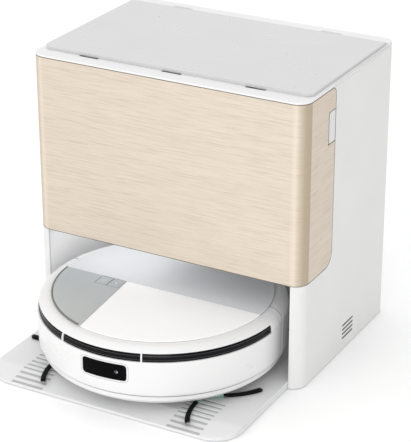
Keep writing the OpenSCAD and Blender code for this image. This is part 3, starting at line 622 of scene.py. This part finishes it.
def make_main_brush():
    """Rubber roller: a plain core with six curved blades and tufts between them."""
    rng = random.Random("roller")
    axis = ROBOT + Vector((0, -50 * MM, 38.5 * MM))
    half, curve = 85 * MM, 0.35

    def around(x, radius, angle):
        return axis + Vector((x, radius * math.sin(angle), radius * math.cos(angle)))

    def blades(bm):
        steps = 40
        section = ((12.5, -1.5), (20.9, -0.8), (21.1, 0.0), (20.9, 0.8), (12.5, 1.5))
        for blade in range(6):
            rows = []
            for i in range(steps + 1):
                x = -half + 2 * MM + (2 * half - 4 * MM) * i / steps
                twist = curve * abs(i / steps - 0.5) * 2 + blade * math.pi / 3
                rows.append([bm.verts.new(around(x, r * MM, twist + side / r)) for r, side in section])
            for low_row, high_row in zip(rows, rows[1:]):
                for k in range(5):
                    bm.faces.new((low_row[k], low_row[(k + 1) % 5], high_row[(k + 1) % 5], high_row[k]))
            bm.faces.new(rows[0][::-1])
            bm.faces.new(rows[-1])

    def core(bm):
        profile = [(0, -half - 7.4 * MM), (2.9 * MM, -half - 7.4 * MM), (2.95 * MM, -half - 0.2 * MM),
                   (12.2 * MM, -half), (13 * MM, -half + 0.8 * MM)]
        profile += [(r, -z) for r, z in reversed(profile)]
        lathe(bm, profile, Vector((0, 0, 0)), 64)
        level = Matrix.Translation(axis) @ Matrix.Rotation(math.radians(90), 4, "Y")
        bmesh.ops.transform(bm, matrix=level, verts=bm.verts)

    def tufts(bm):
        last = 33
        for row in range(6):
            for i in range(last + 1):
                x = -half + 5 * MM + (2 * half - 10 * MM) * i / last
                angle = curve * abs(i / last - 0.5) * 2 + (row + 0.5) * math.pi / 3
                for _ in range(3):
                    lean, dx = rng.uniform(-0.05, 0.05), rng.uniform(-0.8, 0.8) * MM
                    tip = around(x + dx, rng.uniform(18.5, 19.6) * MM, angle + lean)
                    tube(bm, [around(x, 12.6 * MM, angle), tip], [0.22 * MM, 0.12 * MM], 4)

    add_piece("roller_blades", mesh_from("roller_blades", blades), "brush_roll", "green")
    add_piece("roller_tufts", mesh_from("roller_tufts", tufts), "brush_roll", "bristle")
    made = add_piece("roller_core", mesh_from("roller_core", core), "brush_roll", "mid",
                     ("main_brush",))
    made.data.set_sharp_from_angle(angle=math.radians(40))


make_main_brush()


def ring_strip(bm, radii, heights, start, end, steps=96):
    """A strip round the robot between two angles; radii and heights give its section."""
    rows = []
    for i in range(steps + 1):
        angle = start + (end - start) * i / steps
        rows.append([bm.verts.new(on_robot(angle, r, z)) for r, z in zip(radii, heights)])
    for a, b in zip(rows, rows[1:]):
        for k in range(len(radii)):
            j = (k + 1) % len(radii)
            bm.faces.new((a[k], a[j], b[j], b[k]))
    bm.faces.new(rows[0][::-1])
    bm.faces.new(rows[-1])


def flat_ring(bm, center, outer, inner, height, steps=48):
    lathe(bm, [(inner, 0), (outer, 0), (outer, height), (inner, height), (inner, 0)], center, steps)


def make_top_details():
    def trim(bm):
        low, outer_top, inner_top = (ROBOT_TOP + rise * MM for rise in (-1.2, 0.05, 0.12))
        ring_strip(bm, [152.9 * MM, 155.3 * MM, 155.4 * MM, 152.8 * MM], [low, low, outer_top, inner_top],
                   -87.9, -17)
    add_piece("panel_trim", mesh_from("panel_trim", trim), "robot", "trim")
    for key, body, x in (("power", "power_key", -84.4), ("home", "home_key", -65.0)):
        center = ROBOT + Vector((x * MM, -18.4 * MM, ROBOT_TOP))

        def icon(bm):
            if key == "power":
                flat_ring(bm, center, 3.1 * MM, 2.2 * MM, 0.06 * MM)
            else:
                lathe(bm, [(0, 0), (1.5 * MM, 0), (1.5 * MM, 0.06 * MM), (0, 0.06 * MM)], center, 32)
        finish = "icon" if key == "home" else "icon_dim"
        add_piece(key + "_icon", mesh_from(key + "_icon", icon), body, finish)


make_top_details()


def make_window_details():
    """White bezel line round the dark window with a painted shadow line outside it, a lens behind its face,
    and a white dot on the lens that is a painted glint.
    """
    middle, z, half_a, half_z, corner = 3.1, 71.0, 11.0, 12.2, 5.2
    bumper_r, per_degree = 175.0, 3.0543

    def outline(grow, radius, steps=10):
        flat = []
        w, h, r = half_a * per_degree + grow, half_z + grow, corner + grow
        corners = ((w - r, h - r, 0), (r - w, h - r, 90), (r - w, r - h, 180), (w - r, r - h, 270))
        for cx, cz, first in corners:
            for i in range(steps + 1):
                t = math.radians(first + 90 * i / steps)
                flat.append(Vector((cx + r * math.cos(t), cz + r * math.sin(t))))
        points = []
        for a, b in zip(flat, flat[1:] + flat[:1]):
            runs = 16 if (b - a).length > 8 else 1
            for i in range(runs):
                spot = a.lerp(b, i / runs)
                points.append(on_robot(middle + math.degrees(spot.x / bumper_r), radius, (z + spot.y) * MM))
        return points

    def window_ring(name, section, finish):
        def build(bm):
            loops = [[bm.verts.new(p) for p in outline(grow, radius * MM)] for grow, radius in section]
            count = len(loops[0])
            for a, b in zip(loops, loops[1:] + loops[:1]):
                for k in range(count):
                    bm.faces.new((a[k], a[(k + 1) % count], b[(k + 1) % count], b[k]))
        add_piece(name, mesh_from(name, build), "front_bumper", finish)

    window_ring("window_bezel", ((0.0, 174.2), (0.2, 175.15), (1.5, 175.3), (1.9, 174.7)), "robot")
    # A grey strip just outside the bezel: painted shadow.
    window_ring("window_shadow_line", ((1.9, 174.9), (1.95, 175.08), (2.3, 175.08), (2.35, 174.9)), "gap_shade")

    # The small white dot on the lens is a painted glint.
    for label, angle, radius, finish in (("eye", 9.2, 2.6, "glass"), ("spark", 9.7, 0.8, "icon")):
        center = on_robot(angle, 174.62 * MM if label != "spark" else 174.7 * MM, z * MM)
        facing = (center - on_robot(angle, 0, z * MM)).to_track_quat("Z", "Y").to_matrix().to_4x4()

        def lens(bm):
            dome = [(0, 0.12), (radius * 0.7, 0.10), (radius * 0.9, 0.06), (radius, 0)]
            lathe(bm, in_metres(dome), Vector((0, 0, 0)), 40)
            bmesh.ops.transform(bm, matrix=Matrix.Translation(center) @ facing, verts=bm.verts)
        piece = "window_" + label
        add_piece(piece, mesh_from(piece, lens), "front_bumper", finish)


make_window_details()


def make_slot_details():
    """Thin ribs that run along the inside of the sensor slot."""
    for row, (z, radius) in enumerate(((92.4, 172.9), (97.8, 171.9))):
        def rib(bm):
            inner, outer = (radius - 1) * MM, (radius + 0.25) * MM
            heights = [(z + step) * MM for step in (-0.35, -0.3, 0.3, 0.35)]
            ring_strip(bm, [inner, outer, outer, inner], heights, -86, 86, 160)
        name = f"slot_rib_{row}"
        add_piece(name, mesh_from(name, rib), "front_bumper", "dark")


make_slot_details()

# ---------- station details ----------


def make_dust_bag():
    """A full paper bag: swollen sides, gathered top and bottom seams, and faint creases."""
    rng = random.Random("bag")
    center = Vector((0, 42.5, 307)) * MM
    half = Vector((51.5, 58.5, 70.5)) * MM
    creases = [(rng.uniform(0, 6.28), rng.uniform(-1, 1), rng.uniform(4, 9)) for _ in range(9)]

    def bag(bm):
        rows, rings = 44, 96
        grid = []
        for i in range(rows + 1):
            t = -1 + 2 * i / rows
            swell = (1 - abs(t) ** 5) ** 0.5 * 0.93 + 0.02
            ring = []
            for k in range(rings):
                a = 2 * math.pi * k / rings
                c, d = math.cos(a), math.sin(a)
                square = 1 / (abs(c) ** 4.5 + abs(d) ** 4.5) ** (1 / 4.5)
                dent = sum(math.exp(-((a - at) ** 2) * 14 - (t - up) ** 2 * width)
                           for at, up, width in creases)
                pleat = 0.012 * math.cos(a * 24) * abs(t) ** 6
                r = square * swell * (1 - 0.035 * dent + pleat)
                ring.append(bm.verts.new(center + Vector((half.x * c * r, half.y * d * r, half.z * t))))
            grid.append(ring)
        for low_ring, high_ring in zip(grid, grid[1:]):
            for k in range(rings):
                j = (k + 1) % rings
                bm.faces.new((low_ring[k], low_ring[j], high_ring[j], high_ring[k]))
        bm.faces.new(grid[0][::-1])
        bm.faces.new(grid[-1])
    piece = add_piece("paper_bag", mesh_from("paper_bag", bag), "station", "paper",
                      ("dust_bag",))


make_dust_bag()


def make_tag():
    """A blank woven label folded over the edge of the front cover, with a dark outline round its edges that
    is painted shadow.
    """
    x, y0, y1, z0, z1 = 211.0, 18.0, 39.3, 339.5, 385.5

    def cloth(bm):
        across, up = 10, 26
        front, back = [], []
        for i in range(across + 1):
            for side, store in ((0.1, front), (-0.72, back)):
                row = []
                for k in range(up + 1):
                    v = k / up
                    puff = 0.16 * math.sin(math.pi * i / across) * math.sin(math.pi * v)
                    row.append(bm.verts.new(Vector((x - 0.1 + side + (puff if side > 0 else 0),
                                                    y0 + (y1 - y0) * i / across, z0 + (z1 - z0) * v)) * MM))
                store.append(row)
        for grid in (front, back):
            for i in range(across):
                for k in range(up):
                    bm.faces.new((grid[i][k], grid[i + 1][k], grid[i + 1][k + 1], grid[i][k + 1]))
        rim = ([(i, 0) for i in range(across)] + [(across, k) for k in range(up)]
               + [(i, up) for i in range(across, 0, -1)] + [(0, k) for k in range(up, 0, -1)])
        for (a, b), (c, d) in zip(rim, rim[1:] + rim[:1]):
            bm.faces.new((front[a][b], front[c][d], back[c][d], back[a][b]))
    tag = add_piece("tag_cloth", mesh_from("tag_cloth", cloth), "front_cover", "tag",
                    ("fabric_tag",))

    # Dark strips round the label's edges: painted shadow, widest along its front and bottom edges.
    def shadow_outline(bm):
        mid_y, mid_z, wide, tall = (y0 + y1) / 2, (z0 + z1) / 2, y1 - y0, z1 - z0
        for y, z, w, h in ((y0 + 0.7, mid_z, 1.3, tall), (y1 - 0.5, mid_z, 0.5, tall),
                           (mid_y, z0 + 0.6, wide, 1.0), (mid_y, z1 - 0.5, wide, 0.5)):
            place = Matrix.Translation(Vector((x + 0.02, y, z)) * MM)
            bmesh.ops.create_cube(bm, size=MM, matrix=place @ Matrix.Diagonal((0.14, w, h, 1)))
    edge = add_piece("tag_shadow_outline", mesh_from("tag_shadow_outline", shadow_outline), "front_cover", "tag_shadow")


make_tag()


def make_grip_strips():
    """Grey rubber strips laid into the grooves of the ramp's two grip patches."""
    front, ramp_top, slope, fall, depth = FRONT_Y, 12, math.radians(11.3), 0.2, 1.3
    rows, first, pitch, bend_at, apart = 8, 95, 10.2, 137, 123
    strip_size, groove_w, proud = (49.6, 4.1, 0.5, 1), 4.4, 0.28

    def strips(bm):
        for side in (-1, 1):
            for i in range(rows):
                out = first + i * pitch
                level = ramp_top - max(0, out - bend_at) * fall - depth + proud
                turn = Matrix.Rotation(slope if out > bend_at else 0, 4, "X")
                corner = Matrix.Translation(Vector((side * apart, front - out - groove_w, level)) * MM)
                half = Matrix.Translation(Vector((0, groove_w / 2, 0)) * MM) @ Matrix.Diagonal(strip_size)
                bmesh.ops.create_cube(bm, size=MM, matrix=corner @ turn @ half)
    made = add_piece("grip_strips", mesh_from("grip_strips", strips), "station", "grip")
    made.data.shade_flat()


make_grip_strips()


def box_piece(name, boxes, body, finish):
    """Plain boxes, each from its low to its high corner in millimetres."""
    def build(bm):
        for low_corner, high_corner in boxes:
            a, b = Vector(low_corner) * MM, Vector(high_corner) * MM
            place = Matrix.Translation((a + b) / 2) @ Matrix.Diagonal((*(b - a), 1))
            bmesh.ops.create_cube(bm, size=1, matrix=place)
    add_piece(name, mesh_from(name, build), body, finish).data.shade_flat()


def make_key_lines():
    """The thin shadow line round each key."""
    top = ROBOT_TOP / MM
    bars = []
    for x in (-84.4, -65.0):
        y, w, h, line = ROBOT_Y - 18.4, 9.3, 11.3, 0.45
        bars += [((x - w - line, y - h, top - 0.3), (x - w, y + h, top + 0.03)),
                 ((x + w, y - h, top - 0.3), (x + w + line, y + h, top + 0.03)),
                 ((x - w - line, y - h - line, top - 0.3), (x + w + line, y - h, top + 0.03)),
                 ((x - w - line, y + h, top - 0.3), (x + w + line, y + h + line, top + 0.03))]
    box_piece("key_lines", bars, "robot", "trim")


make_key_lines()


def make_gap_shades():
    """Painted shadow lines in the gap round the front cover, and painted shade: dark sheets behind the
    vents and in the lid's finger notches.
    """
    front, corner, wrap, inset, thickness = FRONT_Y, 21.0, 91.0, 0.15, 0.34
    top, bottom, r_top, r_bottom = 416.35, 157.55, 11.0, 20.0

    def arc(cx, cy, r, first, last, steps=12):
        angles = [math.radians(first + (last - first) * i / steps) for i in range(steps + 1)]
        return [(cx + r * math.cos(a), cy + r * math.sin(a)) for a in angles]
    turn = arc(HALF_W - corner, front + corner, corner - inset, -90, 0)
    side = [(front + wrap - r_top, top)]
    side += arc(front + wrap - r_top, top - r_top, r_top, 90, 0)
    side += arc(front + wrap - r_bottom, bottom + r_bottom, r_bottom, 0, -90)
    half = [(0, front + inset, top)] + [(x, y, top) for x, y in turn]
    half += [(HALF_W - inset, y, z) for y, z in side]
    half += [(x, y, bottom) for x, y in reversed(turn)] + [(0, front + inset, bottom)]
    # Dark tubes in the gap round the front cover: painted shadow lines.
    for label, mirror in (("right", 1), ("left", -1)):
        points = [Vector((x * mirror, y, z)) * MM for x, y, z in half]
        points = [p for i, p in enumerate(points) if i == 0 or (p - points[i - 1]).length > 0.01 * MM]
        radii = [thickness * MM] * len(points)
        mesh = mesh_from(f"cover_gap_shadow_{label}", lambda bm: tube(bm, points, radii, 8))
        add_piece(f"cover_gap_shadow_{label}", mesh, "station", "gap_shadow")
    vent_low, vent_pitch, vents = 18, 6.7, 4
    slots = [vent_low + vent_pitch * i for i in range(vents)]
    # Black sheets behind the vent slots: painted shade for the dark inside of the housing.
    box_piece("vent_shade", [((208.7, 85.5, z + 0.06), (210.8, 119.5, z + 2.34)) for z in slots],
              "station", "slit")
    # Grey sheets in the finger notches under the lid's front edge: painted shade.
    notches = [((x - 14.8, -30.2, 417.9), (x + 14.8, -23.8, 418.3)) for x in (-130, 0, 126)]
    box_piece("notch_shade", notches, "station", "gap_shade")


make_gap_shades()


def make_screws():
    """Countersunk screws that hold the back panel and the robot's bottom plate."""
    spots = [("station", Vector((x, BACK_Y, z)) * MM, Vector((0, 1, 0)))
             for x in (-154, 154) for z in (70, 220, 370)]
    spots += [("robot", ROBOT + Vector((x, y, 24)) * MM, Vector((0, 0, -1)))
              for x, y in ((-92, -112), (92, -112), (-146, 20), (146, 20), (-112, 96), (112, 96), (0, 40))]
    for number, (body, at, facing) in enumerate(spots):
        turn = Matrix.Translation(at) @ facing.to_track_quat("Z", "Y").to_matrix().to_4x4()

        def screw(bm):
            profile = [(0, -0.25), (0.9, -0.25), (1.1, 0.12), (2.9, 0.12), (3.2, 0.0), (3.3, -0.3)]
            lathe(bm, in_metres(profile), Vector((0, 0, 0)), 32)
            bmesh.ops.transform(bm, matrix=turn, verts=bm.verts)
        add_piece(f"screw_{number}", mesh_from(f"screw_{number}", screw), body, "steel")


make_screws()

# ---------- studio ----------

def area_light(name, at, aim, size, power, seen=True):
    data = bpy.data.lights.new(name, "AREA")
    data.shape = "RECTANGLE"
    data.size, data.size_y = size
    data.energy = power
    light = bpy.data.objects.new(name, data)
    light.location = at
    light.rotation_euler = (Vector(aim) - Vector(at)).to_track_quat("-Z", "Y").to_euler()
    light.visible_camera = light.visible_glossy = seen
    bpy.context.scene.collection.objects.link(light)


def make_studio():
    scene = bpy.context.scene
    scene.view_settings.view_transform = "Standard"
    world = bpy.data.worlds.new("studio")
    world.use_nodes = True
    scene.world = world
    tree = world.node_tree
    background = tree.nodes["Background"]
    coords = tree.nodes.new("ShaderNodeTexCoord").outputs["Generated"]
    split = tree.nodes.new("ShaderNodeSeparateXYZ")
    tree.links.new(coords, split.inputs[0])
    strength = None
    for axis, near, far in (("Z", 0.86, 1.32), ("X", 1.0, 0.55)):
        span = tree.nodes.new("ShaderNodeMapRange")
        span.inputs["To Min"].default_value = near
        span.inputs["To Max"].default_value = far
        tree.links.new(split.outputs[axis], span.inputs["Value"])
        if strength is None:
            strength = span.outputs[0]
        else:
            product = tree.nodes.new("ShaderNodeMath")
            product.operation = "MULTIPLY"
            tree.links.new(strength, product.inputs[0])
            tree.links.new(span.outputs[0], product.inputs[1])
            strength = product.outputs[0]
    background.inputs["Color"].default_value = (1, 1, 1, 1)
    tree.links.new(strength, background.inputs["Strength"])
    area_light("key", (-1.0, -2.0, 1.5), (0, 0, 0.1), (1.2, 1.2), 2)
    area_light("low_fill", (0.75, -1.8, 0.3), (0, 0, 0.10), (0.8, 0.8), 9)
    area_light("bay_fill", (-0.10, 0.04, 0.1565), (-0.10, 0.04, 0), (0.16, 0.18), 0.075, seen=False)
    floor = mesh_from("floor", lambda bm: bmesh.ops.create_grid(bm, x_segments=1, y_segments=1, size=8))
    plane = bpy.data.objects.new("floor", floor)
    s = Shader("floor_paper", Roughness=0.8, Specular_IOR_Level=0.1, Emission_Strength=0.04)
    s.set("Emission Color", (1, 1, 1, 1))
    albedo = s.ramp(s.noise(3, 2), [(0.3, (0.945, 0.945, 0.945)), (0.7, (0.955, 0.955, 0.955))])
    s.link(albedo, "Base Color")
    floor.materials.append(s.material)
    scene.collection.objects.link(plane)


make_studio()
